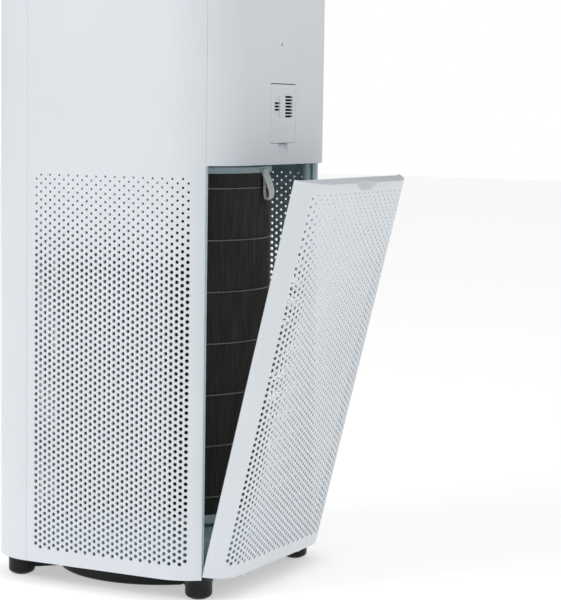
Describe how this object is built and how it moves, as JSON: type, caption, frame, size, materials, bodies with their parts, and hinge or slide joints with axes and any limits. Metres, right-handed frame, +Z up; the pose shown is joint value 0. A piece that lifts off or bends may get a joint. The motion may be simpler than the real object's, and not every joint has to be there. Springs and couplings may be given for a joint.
{
  "type": "air purifier",
  "caption": "Tall square tower air purifier with rounded corners, perforated panels, a tilt-out rear door over a drum filter, and a round top outlet.",
  "frame": {"origin": "centre of the square tower's footprint, on the floor that the four foot pads stand on", "axes": "+Z up; the front face with the display looks along -Y; the rear door is at +Y; +X is the tower's right-hand side seen from the front"},
  "size_m": [0.275, 0.3696, 0.6808],
  "materials": {
    "shell_white": "fine matt moulded plastic",
    "grille_white": "matt",
    "button_white": "satin",
    "display_black": "polished",
    "base_black": "satin moulded",
    "foot_rubber": "matt rubber",
    "chassis_teal": "satin moulded",
    "filter_cap_teal": "satin moulded",
    "filter_paper": "pleated dark mesh",
    "filter_carbon": "granular",
    "foam": "closed-cell foam",
    "ribbon": "woven tape",
    "fan_plastic": "satin",
    "motor_metal": "satin",
    "screw_steel": "zinc plated",
    "magnet": "nickel plated",
    "board_green": "solder mask",
    "sensor_black": "matt"
  },
  "bodies": {
    "tower": {"base_housing": "chassis_teal", "base_screws": "screw_steel", "base_tray": "base_black", "button_board": "board_green", "catch_plates": "screw_steel", "corner_post_front_left": "chassis_teal", "corner_post_front_right": "chassis_teal", "corner_post_rear_left": "chassis_teal", "corner_post_rear_right": "chassis_teal", "deck_screws": "screw_steel", "display_board": "board_green", "display_holder": "base_black", "display_lens": "display_black", "door_switch": "sensor_black", "duct_screws": "screw_steel", "fan_deck": "chassis_teal", "fan_duct": "chassis_teal", "fan_motor": "motor_metal", "filter_bottom_cap": "filter_cap_teal", "filter_carbon": "filter_carbon", "filter_media": "filter_paper", "filter_tab": "ribbon", "filter_top_cap": "filter_cap_teal", "foot_pad_front_left": "foot_rubber", "foot_pad_front_right": "foot_rubber", "foot_pad_rear_left": "foot_rubber", "foot_pad_rear_right": "foot_rubber", "front_shell": "shell_white", "humidity_sensor": "board_green", "inlet_bellmouth": "chassis_teal", "inlet_pins": "screw_steel", "main_board": "board_green", "motor_screws": "screw_steel", "particle_sensor": "sensor_black", "power_inlet": "base_black", "power_supply": "board_green", "rear_upper_shell": "shell_white", "seal_ring": "foam", "side_panel_left": "shell_white", "side_panel_right": "shell_white", "top_frame": "shell_white", "top_grille": "grille_white"},
    "hinge_pins": {"hinge_pin_left": "screw_steel", "hinge_pin_right": "screw_steel"},
    "door": {"rear_door": "shell_white", "door_magnets": "magnet"},
    "cover": {"sensor_cover": "shell_white"},
    "button": {"power_button": "button_white"},
    "fan": {"fan_rotor": "fan_plastic", "fan_shaft": "motor_metal"}
  },
  "joints": [
    {"name": "door_tilt", "type": "hinge", "parent": "tower", "child": "hinge_pins", "pos_m": [0, 0.129, 0.0205], "axis": [-1, 0, 0], "range_deg": [-13.6, 0]},
    {"name": "door_lift", "type": "slide", "parent": "hinge_pins", "child": "door", "axis": [0, 0.2351, 0.972], "range_m": [0, 0.02]},
    {"name": "sensor_cover_swing", "type": "hinge", "parent": "tower", "child": "cover", "pos_m": [0, 0.136, 0.5049], "axis": [1, 0, 0], "range_deg": [0, 70]},
    {"name": "power_press", "type": "slide", "parent": "tower", "child": "button", "axis": [0, 0, -1], "range_m": [0, 0.0012], "stiffness_N_per_m": 700},
    {"name": "fan_spin", "type": "hinge", "parent": "tower", "child": "fan", "pos_m": [0, 0, 0.48], "axis": [0, 0, 1], "continuous": true}
  ]
}
